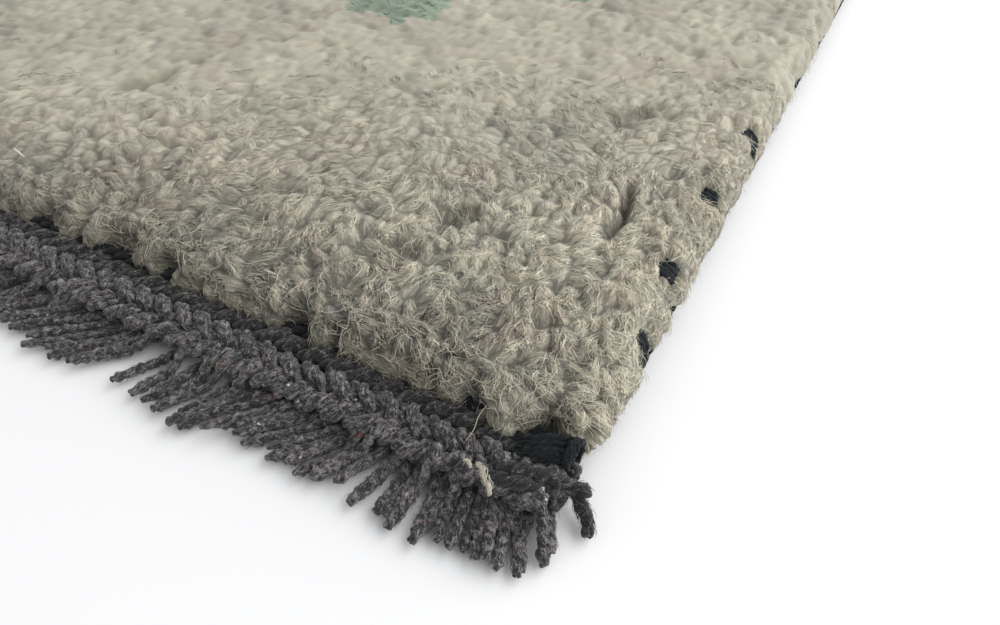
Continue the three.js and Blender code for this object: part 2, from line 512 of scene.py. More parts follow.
def ground_finish():
    """The back of the rug: rows of knots with the wefts between them"""
    cloth = Finish("knotted_ground", WOOL_ROUGHNESS)
    pitch = TAU / (KNOT * MM)
    columns = (cloth.axis("X") * (2 * pitch)).maths("SINE") * 0.5 + 0.5
    rows = (cloth.axis("Y") * pitch).maths("SINE") * 0.5 + 0.5
    fuzz = cloth.noise(cloth.place(CLOTH_FUZZ), detail=3.0)
    knots = rows.band(0.25, 0.6)
    colour = cloth.mix(knots, rgb(0.05, 0.048, 0.05), rgb(0.3, 0.285, 0.24))
    cloth.bump(knots * (0.5 + 0.5 * columns) + 0.3 * fuzz, 1.0, 0.0009)
    return cloth.coloured(cloth.shaded(colour, (0.6 + 0.4 * columns) * (0.6 + 0.8 * fuzz)))


# The camera comes first

def add_camera():
    data = bpy.data.cameras.new("camera")
    data.lens = LENS
    data.sensor_width = SENSOR_WIDTH
    data.clip_start = 0.01
    data.clip_end = 20.0
    camera = bpy.data.objects.new("camera", data)
    camera.location = Vector(CAMERA_PLACE * MM)
    camera.rotation_euler = (math.radians(90) - CAMERA_PITCH, 0.0, CAMERA_TURN)
    bpy.context.scene.collection.objects.link(camera)
    bpy.context.scene.camera = camera


# The ground cloth

def deselect():
    if bpy.context.object and bpy.context.object.mode != "OBJECT":
        bpy.ops.object.mode_set(mode="OBJECT")
    bpy.ops.object.select_all(action="DESELECT")


def add_ground():
    """A flat cloth of wefts and knots, thickened from a plane"""
    deselect()
    bpy.ops.mesh.primitive_plane_add(size=1.0, location=(0, 0, GROUND_TOP * MM))
    cloth = bpy.context.object
    cloth.name = "rug_ground"
    cloth.data.name = "rug_ground"
    cloth.scale = (2 * GROUND_HALF_WIDTH * MM, 2 * GROUND_HALF_LENGTH * MM, 1.0)
    bpy.ops.object.transform_apply(location=True, rotation=True, scale=True)
    bpy.ops.object.mode_set(mode="EDIT")
    bpy.ops.mesh.select_all(action="SELECT")
    bpy.ops.mesh.subdivide(number_cuts=24)
    bpy.ops.object.mode_set(mode="OBJECT")
    thickness = cloth.modifiers.new("thickness", "SOLIDIFY")
    thickness.thickness = GROUND_TOP * MM
    thickness.offset = -1.0
    bpy.ops.object.modifier_apply(modifier=thickness.name)
    dress(cloth, ground_finish(), ["rug_body"])
    return cloth


# The pile

# Five plain flowers: where they are, their disc with an open ring in it, and their round petals
FLOWER_CENTRES = [(0, 0), (148, 234), (-148, 234), (148, -234), (-148, -234)]
FLOWER_DISC = 52
FLOWER_RING = (15, 22)
PETALS = 5
PETAL_REACH = 61
PETAL_RADIUS = 19
FLOWER_TURN = math.radians(4)

# Furrows where the pile parts, from the front right corner: ends, how far tufts lean away, depth and width
PARTINGS = [
    {"start": (-184, 55), "end": (-177, 73), "opens": 3.0, "deep": 3.4, "width": 2.6},
    {"start": (-19.6, 60), "end": (-22.6, 82), "opens": 1.4, "deep": 4.4, "width": 1.1},
    {"start": (-60, 44), "end": (-55, 52), "opens": 2.2, "deep": 3.6, "width": 3.6},
    {"start": (-67, 27), "end": (-58, 36), "opens": 2.0, "deep": 2.0, "width": 5.0},
    {"start": (-41, 109), "end": (-32, 123), "opens": 2.2, "deep": 2.8, "width": 3.2},
    {"start": (-20, 26), "end": (-12, 40), "opens": 2.0, "deep": 0.6, "width": 2.0},
    {"start": (-112, 30), "end": (-100, 52), "opens": 2.0, "deep": 0.8, "width": 2.4},
]

# Where the side tufts part over a dark wrap, on the pile laid flat, and the half size of each gap
WRAPS = [(301.5, -419.0), (296.0, -394.6), (294.5, -362.0), (297.7, -326.8)]
WRAP_DEPTH = 6.5
WRAP_GAP = (3.2, 3.0)

# Where the corner's yarns show between two tufts that stand out
CORNER_NOOK = (291.6, -455.0)
NOOK_DEPTH = 4.5
NOOK_HALF = (4.6, 5.5)
CORNER_TUFTS = [(279.5, -454.5), (303.0, -447.5)]
CORNER_TUFT_HALF = (4.5, 5.0)
CORNER_TUFT_BULGE = 2.6

# The notches between the tufts of the ends and sides, each with its length along the edge
END_NOTCH = 4.2
END_NOTCH_LENGTH = 4.3
SIDE_NOTCH = 1.6
SIDE_NOTCH_LENGTH = 4.0

# How far the pile slopes down to the ends, and how far in its rim is tucked underneath
END_SLOPE = 2.4
RIM_TUCK = (298.2, 449.5)

# Fine fibres over the pile, by distance from the camera: how many a knot has, their radius and their lie.
# Between the distances of THINNED fewer and fewer knots have them.
FIBRE_BANDS = [
    {"name": "pile_nearest_fibres", "from": 0, "to": 196, "each": 108, "radius": 0.08,
     "lie": {"wave": 0.7, "fly": 0.8, "stray": 1.1}},
    {"name": "pile_near_fibres", "from": 196, "to": 215, "each": 70, "radius": 0.09,
     "lie": {"wave": 0.55, "fly": 0.6, "stray": 0.8}},
    {"name": "pile_middle_fibres", "from": 215, "to": 275, "each": 12, "radius": 0.1,
     "lie": {"fly": 0.2, "stray": 0.2}},
]
THINNED = (215, 275)


def both_sides(spots):
    """The given spots and the same ones after the rug is turned round"""
    return [(sign * x, sign * y) for sign in (1, -1) for x, y in spots]


def in_flower(x, y):
    """Whether a knot is tied in green: a disc with round petals and a ring left open in it"""
    green = np.zeros(x.shape, bool)
    for centre in FLOWER_CENTRES:
        away = np.hypot(x - centre[0], y - centre[1])
        inside = away < FLOWER_DISC
        for petal in range(PETALS):
            angle = TAU * (petal / PETALS - 0.25) + FLOWER_TURN
            middle_x = centre[0] + PETAL_REACH * math.cos(angle)
            middle_y = centre[1] + PETAL_REACH * math.sin(angle)
            inside |= np.hypot(x - middle_x, y - middle_y) < PETAL_RADIUS
        ring = (away > FLOWER_RING[0]) & (away < FLOWER_RING[1])
        green |= inside & ~ring
    return green


def along_parting(parting, x, y):
    """Which way a parting runs, how far beside it each spot is and whether the spot is within its length"""
    start = CORNER[:2] + parting["start"]
    run = CORNER[:2] + parting["end"] - start
    length = np.hypot(*run)
    run = run / length
    beyond = (x - start[0]) * run[0] + (y - start[1]) * run[1]
    beside = (x - start[0]) * -run[1] + (y - start[1]) * run[0]
    return run, beside, ease(-4, 4, beyond) * ease(-4, 4, length - beyond)


def lay_tufts():
    """Every curl of the rug: its middle on the flat layout, how it lies, its size and its colour"""
    columns, rows = [int(round(2 * reach / KNOT)) for reach in LAID]
    across = (np.arange(columns) + 0.5) * 2 * LAID[0] / columns - LAID[0]
    along = (np.arange(rows) + 0.5) * 2 * LAID[1] / rows - LAID[1]
    x, y = np.meshgrid(across, along)
    green = in_flower(x, y)
    x = x + DRAWS.normal(0, KNOT_JITTER, x.shape)
    y = y + DRAWS.normal(0, KNOT_JITTER, x.shape)
    flow = PILE_FLOW + 0.8 * lumps(x, y, 31, 1) + 0.7 * lumps(x, y, 12, 2)
    lean = PILE_LEAN + 0.9 * lumps(x, y, 24, 3)
    lean_x, lean_y = lean * np.cos(flow), lean * np.sin(flow)
    swell = 0.4 * lumps(x, y, 70, 5) + 0.7 * lumps(x, y, 15, 6)
    height = PILE_TOP - 0.1 + swell + DRAWS.normal(0, 0.3, x.shape)
    for parting in PARTINGS:
        run, beside, within = along_parting(parting, x, y)
        push = np.exp(-(beside / 7) ** 2) * within
        lean_x += parting["opens"] * push * np.sign(beside) * -run[1]
        lean_y += parting["opens"] * push * np.sign(beside) * run[0]
        height -= 0.5 * parting["opens"] * push
    # Toward the edges the pile lies lower and leans outward
    side = ease(-6, 5, np.abs(x) - ROLL_FROM[0]) * np.sign(x)
    from_end = np.abs(y) - ROLL_FROM[1]
    end = ease(-8, 5, from_end) * np.sign(y)
    slope = ease(-45, 0, from_end) * (1 - ease(1, 8, from_end))
    height -= END_SLOPE * slope * (1 - np.abs(side))
    # The side tufts part where a dark wrap of the selvedge shows
    for wrap_x, wrap_y in both_sides(WRAPS):
        push = mound(x, y, (wrap_x, wrap_y), (8.0, 5.0))
        lean_y += 2.5 * push * np.sign(y - wrap_y)
    heading = np.arctan2(np.sin(flow) + 0.8 * end, np.cos(flow) + 1.4 * side + 1.6 * np.abs(end))

    def curls(values):
        return np.repeat(values[..., None], CURLS, axis=-1)

    def varied(values):
        return curls(values) + DRAWS.normal(0, 0.25, shape)

    shape = x.shape + (CURLS,)
    away = curls(far(x, y))
    # Far off, the tufts' random tone gives way to painted shade with a little mottling
    far_shade_and_mottle = FAR_PAINTED_SHADE + 0.36 * lumps(x, y, 9, 13)
    heading = curls(heading) + DRAWS.normal(0, 0.5, shape)
    slip = DRAWS.uniform(-1, 1, shape) * CURL_SLIP
    shift = (np.arange(CURLS) - (CURLS - 1) / 2) * CURL_SPREAD + DRAWS.normal(0, 0.6, shape)
    step_x, step_y = np.cos(heading), np.sin(heading)
    # The tone varies at random, and toward the ends it is darkened with painted shade over the last 44 mm,
    # less so near the sides
    inland = ease(6, 34, HALF_WIDTH - np.abs(x))
    near_end = 1 - ease(8, 44, HALF_LENGTH - np.abs(y))
    tone = 0.4 * lumps(x, y, 30, 10) - (0.4 + 1.1 * inland) * near_end
    return {
        "x": curls(x + lean_x) + step_x * slip - step_y * shift,
        "y": curls(y + lean_y) + step_y * slip + step_x * shift,
        "step_x": step_x, "step_y": step_y,
        "long": DRAWS.uniform(*TUFT_LONG, shape), "wide": DRAWS.uniform(*TUFT_WIDE, shape),
        "height": curls(height) + DRAWS.normal(0, 0.5, shape), "green": curls(green),
        "tone": varied(tone) * (1 - 0.45 * away) + away * curls(far_shade_and_mottle),
        "warmth": 0.5 + varied(0.3 * lumps(x, y, 21, 11)) * (1 - 0.5 * away),
    }


def sheared(height):
    """The pile is cut level: what would stand above that is pressed to it"""
    gap = np.maximum(SHEAR_LEVEL - height, 0)
    return SHEAR_LEVEL - gap ** 2 / (gap + SHEAR_SOFT)


def roll(points, ways=None):
    """Rolls the pile's flat layout down over the rug's edges; ways are directions that turn with it"""
    x, y, z = points[..., 0], points[..., 1], points[..., 2]
    out_x = np.maximum(np.abs(x) - ROLL_FROM[0] + ROUNDING, 0) * np.sign(x)
    out_y = np.maximum(np.abs(y) - ROLL_FROM[1] + ROUNDING, 0) * np.sign(y)
    plain = np.maximum(np.hypot(out_x, out_y), 1e-6)
    past = (out_x ** 4 + out_y ** 4) ** 0.25
    flat = past <= ROUNDING
    angle = np.where(flat, 0, past - ROUNDING) / ROLL_RADIUS
    way_x = np.where(flat, 1.0, out_x / plain)
    way_y = np.where(flat, 0.0, out_y / plain)
    start = ROUNDING * plain / np.maximum(past, 1e-6)
    reach = np.maximum(ROLL_RADIUS + z - PILE_TOP, 0.5)
    sine, cosine = np.sin(angle), np.cos(angle)
    rolled = np.stack([
        x - out_x + way_x * (start + reach * sine), y - out_y + way_y * (start + reach * sine),
        PILE_TOP - ROLL_RADIUS + reach * cosine], axis=-1)
    rolled = np.where(flat[..., None], points, rolled)
    if ways is None:
        return rolled
    outward = ways[..., 0] * way_x + ways[..., 1] * way_y
    sideways = ways[..., 1] * way_x - ways[..., 0] * way_y
    down = outward * cosine + ways[..., 2] * sine
    upward = ways[..., 2] * cosine - outward * sine
    turned = np.stack([way_x * down - way_y * sideways, way_y * down + way_x * sideways, upward], axis=-1)
    return rolled, turned


class Tufts:
    """The pile's own surface: a soft dome over each tuft, worked out from the tufts around a spot"""

    def __init__(self, tufts):
        self.tufts = tufts
        self.rows, self.columns, _ = tufts["x"].shape
        self.flat = {name: values.ravel() for name, values in tufts.items()}

    def beside(self, which, x, y):
        """How far along and across the chosen tufts each spot is, and their own height there"""
        names = ("x", "y", "step_x", "step_y", "long", "wide", "height")
        mine = {name: self.flat[name][which] for name in names}
        away_x, away_y = x - mine["x"], y - mine["y"]
        along = away_x * mine["step_x"] + away_y * mine["step_y"]
        across = away_y * mine["step_x"] - away_x * mine["step_y"]
        dome = mine["height"] + DOME_TILT * along
        dome = dome - DOME_DROP * ((along / mine["long"]) ** 2 + (across / mine["wide"]) ** 2)
        return along, across, dome

    def surface(self, x, y):
        """Height of the pile at each spot and the tuft on top there"""
        column = np.round((x + LAID[0]) * self.columns / (2 * LAID[0]) - 0.5).astype(int)
        row = np.round((y + LAID[1]) * self.rows / (2 * LAID[1]) - 0.5).astype(int)
        best = np.full(x.shape, -90.0)
        top = np.zeros(x.shape, int)
        total = np.zeros(x.shape)
        for down in range(-1, 3):
            for aside in range(-1, 2):
                knot = np.clip(row + down, 0, self.rows - 1) * self.columns
                knot = knot + np.clip(column + aside, 0, self.columns - 1)
                for curl in range(CURLS):
                    which = knot * CURLS + curl
                    _, _, dome = self.beside(which, x, y)
                    total += np.exp(DOME_BLEND * (dome - PILE_TOP))
                    top = np.where(dome > best, which, top)
                    best = np.maximum(dome, best)
        height = PILE_TOP + np.log(np.maximum(total, 1e-12)) / DOME_BLEND
        height = FILLED_TO + FILL_SOFT * np.logaddexp(0, (sheared(height) - FILLED_TO) / FILL_SOFT)
        height = height + FAR_CALM * far(x, y) * (PILE_TOP - 0.2 - height)
        return np.maximum(height - gaps(x, y), PILE_FLOOR), top


def far(x, y):
    """Zero near the finest corner, one where the pile is too far off to show its single curls"""
    depth, _ = depth_of(np.stack([x, y, np.full(x.shape, PILE_TOP)], axis=-1))
    return ease(*FAR_FROM, depth)


def risen(x, y, z, own):
    """How far each spot is out of the valleys of the pile, which the wools darken with painted shade"""
    rise = ease(PILE_FLOOR + 2, PILE_TOP - 0.5, z) * ease(-2.6, 0.2, z - sheared(own))
    return rise + FAR_RISE_SHARE * far(x, y) * (FAR_RISE - rise)


def mound(x, y, middle, half, power=2):
    """One at a spot and falling away from it, with a flatter top for a higher power"""
    return np.exp(-((x - middle[0]) / half[0]) ** power - ((y - middle[1]) / half[1]) ** power)


def gaps(x, y):
    """How much lower the pile is where it parts over a dark wrap and between the tufts of an edge"""
    pit = np.zeros(x.shape)
    ragged = 1 + 0.5 * lumps(x, y, 2.4, 93)
    for spot in both_sides(WRAPS):
        pit += WRAP_DEPTH * ragged * mound(x, y, spot, WRAP_GAP)
    for parting in PARTINGS:
        _, beside, within = along_parting(parting, x, y)
        beside = beside + 1.6 * lumps(x, y, 8, 94)
        pit += parting["deep"] * ragged * within * np.exp(-(beside / parting["width"]) ** 2)
    for spot in both_sides([CORNER_NOOK]):
        pit += NOOK_DEPTH * mound(x, y, spot, NOOK_HALF, 4)
    at_end = ease(ROLL_FROM[1] + 1, ROLL_FROM[1] + 9, np.abs(y))
    at_side = ease(ROLL_FROM[0] + 1, ROLL_FROM[0] + 9, np.abs(x))
    notch = END_NOTCH * at_end * np.maximum(lumps(x, 0 * x, END_NOTCH_LENGTH, 91), 0) ** 0.8
    for spot in both_sides(CORNER_TUFTS):
        notch -= CORNER_TUFT_BULGE * mound(x, y, spot, CORNER_TUFT_HALF)
    return pit + notch + SIDE_NOTCH * at_side * np.maximum(lumps(y, 0 * y, SIDE_NOTCH_LENGTH, 92), 0)


def grid_lines(low, high, spacing_low, spacing_high):
    """Places of grid lines whose spacing grows evenly from one end to the other"""
    cells = int(round((high - low) * 2 / (spacing_low + spacing_high)))
    share = np.linspace(0, 1, cells + 1)
    bend = (spacing_high - spacing_low) / (spacing_high + spacing_low)
    return low + (high - low) * (share * (1 - bend) + bend * share ** 2)


def add_skin(name, tufts, across, along):
    """The felted body of the pile over a rectangle, through the given grid lines, closed underneath"""
    deselect()
    bpy.ops.mesh.primitive_grid_add(x_subdivisions=len(across) - 1, y_subdivisions=len(along) - 1, size=2.0)
    skin = bpy.context.object
    skin.name = name
    mesh = skin.data
    mesh.name = name
    spots = np.empty(len(mesh.vertices) * 3)
    mesh.vertices.foreach_get("co", spots)
    spots = spots.reshape(-1, 3)
    x = across[np.round((spots[:, 0] + 1) / 2 * (len(across) - 1)).astype(int)]
    y = along[np.round((spots[:, 1] + 1) / 2 * (len(along) - 1)).astype(int)]
    z, top = tufts.surface(x, y)
    run, beside, _ = tufts.beside(top, x, y)
    felted = lumps(run * 0.3 + top * 1.7, beside, 0.9, 31) + lumps(x, y, 1.9, 32)
    z = z - SKIN_UNDER + SKIN_FELTED * felted
    z = np.maximum(z, PILE_FLOOR)
    mesh.vertices.foreach_set("co", (roll(np.stack([x, y, z], axis=-1)) * MM).ravel())
    rise = risen(x, y, z, tufts.flat["height"][top])
    marks = {mark: tufts.flat[mark][top] for mark in ("tone", "warmth", "green")}
    marks["crisp"] = (1 - far(x, y)) ** 1.5
    for mark, values in {**marks, "rise": rise}.items():
        mesh.attributes.new(mark, "FLOAT", "POINT").data.foreach_set("value", values.astype(np.float32))
    # Close it: the rim goes down and in under the overhang, and a flat face shuts the bottom
    bpy.ops.object.mode_set(mode="EDIT")
    bpy.ops.mesh.select_mode(type="EDGE")
    bpy.ops.mesh.select_all(action="DESELECT")
    bpy.ops.mesh.select_non_manifold()
    bpy.ops.mesh.extrude_region_move()
    bpy.ops.mesh.extrude_region_move()
    bpy.ops.mesh.edge_face_add()
    bpy.ops.object.mode_set(mode="OBJECT")
    spots = np.empty(len(mesh.vertices) * 3)
    mesh.vertices.foreach_get("co", spots)
    spots = spots.reshape(-1, 3)
    rim = spots[len(x):]
    border = np.zeros(len(spots), bool)
    border[:len(x)] = (x == across[0]) | (x == across[-1]) | (y == along[0]) | (y == along[-1])
    inner = np.arange(len(rim)) >= len(rim) // 2
    tuck = np.where(inner[:, None], [[GROUND_HALF_WIDTH, GROUND_HALF_LENGTH]], [RIM_TUCK]) * MM
    rim[:, :2] = np.clip(rim[:, :2], -tuck, tuck)
    rim[:, 2] = PILE_FLOOR * MM
    mesh.vertices.foreach_set("co", spots.ravel())
    mesh.polygons.foreach_set("use_smooth", np.ones(len(mesh.polygons), bool))
    ends = np.empty(len(mesh.edges) * 2, int)
    mesh.edges.foreach_get("vertices", ends)
    mesh.edges.foreach_set("use_edge_sharp", border[ends].reshape(-1, 2).all(axis=1))
    # Strands run along the curls, and each curl has its own place in the material's noise
    corner = np.empty(len(mesh.loops), int)
    mesh.loops.foreach_get("vertex_index", corner)
    flow = np.zeros((len(mesh.vertices), 2))
    flow[:len(x)] = np.stack([run + top % 89 * 11, beside + top % 97 * 7], axis=-1)
    strand = mesh.uv_layers.get("strand") or mesh.uv_layers.new(name="strand")
    strand.data.foreach_set("uv", flow[corner].astype(np.float32).ravel())
    mesh.update()
    dress(skin, skin_wool)
    return skin


def pile_marks(count, tone, warmth, rise, crisp):
    """What the pile's material reads from each fibre"""
    return {
        "tone": tone, "warmth": warmth + DRAWS.normal(0, 0.15, count), "rise": rise,
        "crisp": np.full(count, crisp)}


def fibres(tufts, mask, each, radius, proud=0.2, wave=0.3, fly=0.3, stray=0.3, crisp=0.4):
    """Fibres that lie along the tufts of the chosen knots.

    each is how many a knot has, proud how far they lie above the felted body, wave how much they wander,
    fly how far their ends stand off, stray how much their tones differ.
    """
    knots = np.flatnonzero(mask)
    whole = np.floor(each + DRAWS.uniform(0, 1, len(knots))).astype(int)
    knot = np.repeat(knots, whole)
    count = len(knot)
    which = (knot * CURLS + DRAWS.integers(0, CURLS, count))[:, None]
    mine = {name: values[which] for name, values in tufts.flat.items()}
    t = np.linspace(0, 1, FIBRE_STATIONS)[None]
    begin = -mine["long"] * DRAWS.uniform(0.2, 1.1, (count, 1))
    finish = mine["long"] * DRAWS.uniform(0.2, 1.2, (count, 1))
    along = begin + (finish - begin) * t
    across = mine["wide"] * np.clip(DRAWS.normal(0, 0.55, (count, 1)), -1.1, 1.1)
    across = across + (along - (begin + finish) / 2) * DRAWS.normal(0, 0.28, (count, 1))
    turns = DRAWS.uniform(0.4, 1.2, (count, 1)) * t + DRAWS.uniform(0, 1, (count, 1))
    across = across + wave * np.sin(TAU * turns)
    x = mine["x"] + mine["step_x"] * along - mine["step_y"] * across
    y = mine["y"] + mine["step_y"] * along + mine["step_x"] * across
    surface, _ = tufts.surface(x, y)
    _, _, own = tufts.beside(which, x, y)
    height = surface - SKIN_UNDER + proud * DRAWS.uniform(0.2, 1.6, (count, 1))
    height = height - 0.8 * np.maximum(surface - sheared(own) - 0.8, 0)
    height = height + fly * (2 * t - 1) ** 2 * DRAWS.normal(0.3, 0.7, (count, 1))
    paths = np.stack([x, y, np.maximum(height, PILE_FLOOR - 1)], axis=-1)
    radii = radius * DRAWS.uniform(0.6, 1.3, (count, 1)) * np.ones(FIBRE_STATIONS)
    rise = risen(x, y, height, mine["height"])
    soft = unit(np.stack([
        mine["step_x"] * along * 0.12 - mine["step_y"] * across * 0.3,
        mine["step_y"] * along * 0.12 + mine["step_x"] * across * 0.3, np.ones(x.shape)], axis=-1))
    paths, soft = roll(paths, soft)
    tone = (mine["tone"] + stray * DRAWS.normal(0, 1, (count, 1)))[:, 0]
    return spindles(paths, radii, soft, **pile_marks(count, tone, mine["warmth"][:, 0], rise, crisp))


def spindles(paths, radii, soft, **marks):
    """Three-sided fibres that end in a point at both ends.

    soft is the way that the wool around each station faces, which the fibre's own shading leans to.
    """
    count, stations, _ = paths.shape
    side, over = cross_frame(paths, soft)
    angle = TAU * (np.arange(3) + 0.25) / 3
    ring = np.cos(angle)[:, None] * side[:, :, None] + np.sin(angle)[:, None] * over[:, :, None]
    middle = slice(1, stations - 1)
    points = paths[:, middle, None] + radii[:, middle, None, None] * ring[:, middle]
    points = np.concatenate([paths[:, :1], points.reshape(count, -1, 3), paths[:, -1:]], axis=1)
    here = 1 + np.arange((stations - 2) * 3).reshape(stations - 2, 3)
    beside = np.roll(here, -1, axis=1)
    last = points.shape[1] - 1
    quads = walls(here)
    first_fan = np.stack([np.zeros(3, int), here[0], beside[0]], axis=-1)
    last_fan = np.stack([here[-1], np.full(3, last), beside[-1]], axis=-1)
    triangles = np.concatenate([first_fan, last_fan])
    shift = (np.arange(count) * points.shape[1])[:, None, None]
    station_of = np.concatenate([[0], np.repeat(np.arange(1, stations - 1), 3), [stations - 1]])
    travelled = np.linalg.norm(np.diff(paths, axis=1), axis=2).sum(axis=1)
    own_uv = np.stack([
        travelled[:, None] * station_of / (stations - 1),
        np.broadcast_to(apart(count)[:, None], (count, last + 1))], axis=-1)
    quad_corners = (quads[None] + shift).reshape(-1, 4)
    triangle_corners = (triangles[None] + shift).reshape(-1, 3)
    flat_uv = own_uv.reshape(-1, 2)
    return {
        "points": points.reshape(-1, 3),
        "soft": soft[:, station_of].reshape(-1, 3),
        "quads": quad_corners,
        "triangles": triangle_corners,
        "quad_uv": flat_uv[quad_corners].reshape(-1, 2),
        "triangle_uv": flat_uv[triangle_corners].reshape(-1, 2),
        "marks": {
            name: by_station(value, stations)[:, station_of].reshape(-1)
            for name, value in marks.items()},
    }


def spots_along(paths, t):
    """The places at shares t, (count, stations), of the way along each path, and the same for any values"""
    last = paths.shape[1] - 1
    step = np.clip(t, 0, 0.9999) * last
    before = step.astype(int)
    share = step - before
    row = np.arange(len(paths))[:, None]
    if paths.ndim == 3:
        share = share[..., None]
    return paths[row, before] * (1 - share) + paths[row, before + 1] * share


def fuzz(lines, radii, tones, each, fly=0.8):
    """Loose fibres, so many to each ply, that run along the outside of yarns and stand off a little"""
    side, over = cross_frame(lines, UP)
    which = np.repeat(np.arange(len(lines)), each)
    count = len(which)
    t = np.linspace(0, 1, FIBRE_STATIONS)[None]
    length = np.linalg.norm(np.diff(lines, axis=1), axis=2).sum(axis=1)[which][:, None]
    run = DRAWS.uniform(2.0, 5.5, (count, 1)) / length
    begin = DRAWS.uniform(0, 1, (count, 1)) * (1.02 - run)
    share = begin + run * t
    angle = DRAWS.uniform(0, TAU, (count, 1)) + DRAWS.normal(0, 0.9, (count, 1)) * t
    middle = spots_along(lines[which], share)
    out = np.cos(angle)[..., None] * spots_along(side[which], share)
    out = out + np.sin(angle)[..., None] * spots_along(over[which], share)
    stand = spots_along(radii[which], share)
    stand = stand + fly * t ** 2 * np.abs(DRAWS.normal(0, 0.8, (count, 1))) + 0.05
    line = middle + out * stand[..., None]
    line = line + 0.25 * DRAWS.normal(0, 1, line.shape) * t[..., None]
    line[..., 2] = np.maximum(line[..., 2], 0.2)
    tone = tones[which] + 0.4 + 0.5 * DRAWS.normal(0, 1, count)
    thick = HAIR_RADIUS * DRAWS.uniform(0.6, 1.4, (count, 1)) * np.ones(FIBRE_STATIONS)
    return spindles(line, thick, unit(out), tone=tone)


def depth_of(spots):
    """Distance of spots from the camera and whether they are in the picture or close to it"""
    away = spots - CAMERA_PLACE
    ahead = np.array([-math.sin(CAMERA_TURN), math.cos(CAMERA_TURN), 0.0])
    right = np.array([ahead[1], -ahead[0], 0.0])
    look = ahead * math.cos(CAMERA_PITCH) + np.array([0, 0, -math.sin(CAMERA_PITCH)])
    up = np.cross(right, look)
    depth = away @ look
    in_width = np.abs(away @ right) < VIEW_HALF[0] * depth + VIEW_MARGIN
    in_height = np.abs(away @ up) < VIEW_HALF[1] * depth + VIEW_MARGIN
    return depth, in_width & in_height & (depth > 0)


def add_pile():
    """The whole pile: a felted body in three pieces, with fine fibres where the camera sees it near to"""
    tufts = Tufts(lay_tufts())
    middle = np.stack([tufts.tufts[name].mean(axis=-1) for name in ("x", "y", "height")], axis=-1)
    depth, seen = depth_of(roll(middle))
    green = tufts.tufts["green"][..., 0].astype(bool)
    from_left, to_back = CORNER[0] + FINE_AREA[0], CORNER[1] + FINE_AREA[1]
    fine_y = grid_lines(-LAID[1], to_back, *FINE_CELLS)
    fine_x = -grid_lines(-LAID[0], -from_left, *FINE_CELLS)[::-1]
    pieces = [
        add_skin("pile_corner_body", tufts, fine_x, fine_y),
        add_skin("pile_front_body", tufts, grid_lines(-LAID[0], from_left, *COARSE_CELLS),
                 grid_lines(-LAID[1], to_back, *COARSE_CELLS)),
        add_skin("pile_back_body", tufts, grid_lines(-LAID[0], LAID[0], *BACK_CELLS),
                 grid_lines(to_back, LAID[1], *BACK_CELLS)),
    ]

    shown = seen & ~green & (DRAWS.uniform(0, 1, depth.shape) > ease(*THINNED, depth))
    for band in FIBRE_BANDS:
        knots = shown & (depth >= band["from"]) & (depth < band["to"])
        laid = fibres(tufts, knots, band["each"], band["radius"], **band["lie"])
        pieces.append(new_piece(band["name"], [laid], greige_wool))
    tip = fibres(tufts, seen & green, 5, 0.15, proud=0.05, fly=0.0, stray=0.0, crisp=0.1)
    pieces.append(new_piece("flower_tip", [tip], sage_wool))
    flowers = fibres(tufts, ~seen & green, 1, 0.6, stray=0.1)
    pieces.append(new_piece("flowers", [flowers], sage_wool))
    pieces.append(add_stray_wool(tufts))
    return pieces


# Selvedges, plaits and fringes

# The selvedge: its warps, the dark yarn wound round them, finer on the right, and the thicker wraps
SELVEDGE_INSET = 4
CORE_RADIUS = 2.7
OVERCAST_PITCH = 2.6
OVERCAST_RADIUS = 2.95
OVERCAST_THICK = 1.0
OVERCAST_STEPS = {1: 7, -1: 5}
OVERCAST_SIDES = {1: 4, -1: 3}
WRAP_TURNS = 3.6
WRAP_SPACING = 1.5
WRAP_THICK = 0.95
WRAP_X = 292.6
WRAP_REACH = 5.2
WRAP_Z = 6.4
WRAP_RISE = 7.6

# The plait's ropes: distance along Y, height, strand thickness and hand of the twist; then their tones, the
# first one darker with painted shade from the overhanging pile.
# FINE_EDGE is how far from the corner they are spun from plied yarn with loose hairs.
ROPES = [(-453.2, 6.9, 1.65, 1), (-458.0, 7.0, 1.75, -1), (-462.4, 5.6, 1.75, 1)]
ROPE_TONES_AND_SHADE = (-1.3, -0.1, 0.1)
ROPE_TWIST = 13.0
ROPE_HAIRS = 520
STRAND_STEP = 0.9
PLY_TWIST = 6.0
FINE_EDGE = -205

# The row of dark weft inside the plait: distance along Y and height
WEFT_ROW = (-449.4, 8.4)
WEFT_THICK = 1.05
# The weft row's tone is darkened with painted shade, as it lies in the shadow of the overhanging pile
WEFT_PAINTED_SHADE = -1.5

# The cut warps: most come out under the plait and some over it
WARP_RADIUS = 1.4
WARP_PITCH = 3.05
WARP_START = 457.0
WARPS_OVER = 0.22
WARP_HEIGHT_OVER = 7.6
WARP_HEIGHT_UNDER = 2.6

# How the cut warps lie: distance from the end's right-hand corner, sideways slope, reach beyond the plait
FRINGE_LIE = np.array([
    (0, -0.4, 3.0), (7, -0.45, 4.0), (12, -0.45, 9.5), (16, -0.4, 12.0), (22, -0.25, 12.5), (30, 0.1, 12.5),
    (40, 0.55, 12.5), (47, 0.85, 12.5), (56, 1.4, 11.0), (72, 0.7, 13.5), (95, 0.65, 13.5),
    (115, 1.4, 12.0), (150, 1.1, 13.0), (220, 0.7, 13.6), (400, 0.85, 12.8), (600, 0.05, 12.4)])

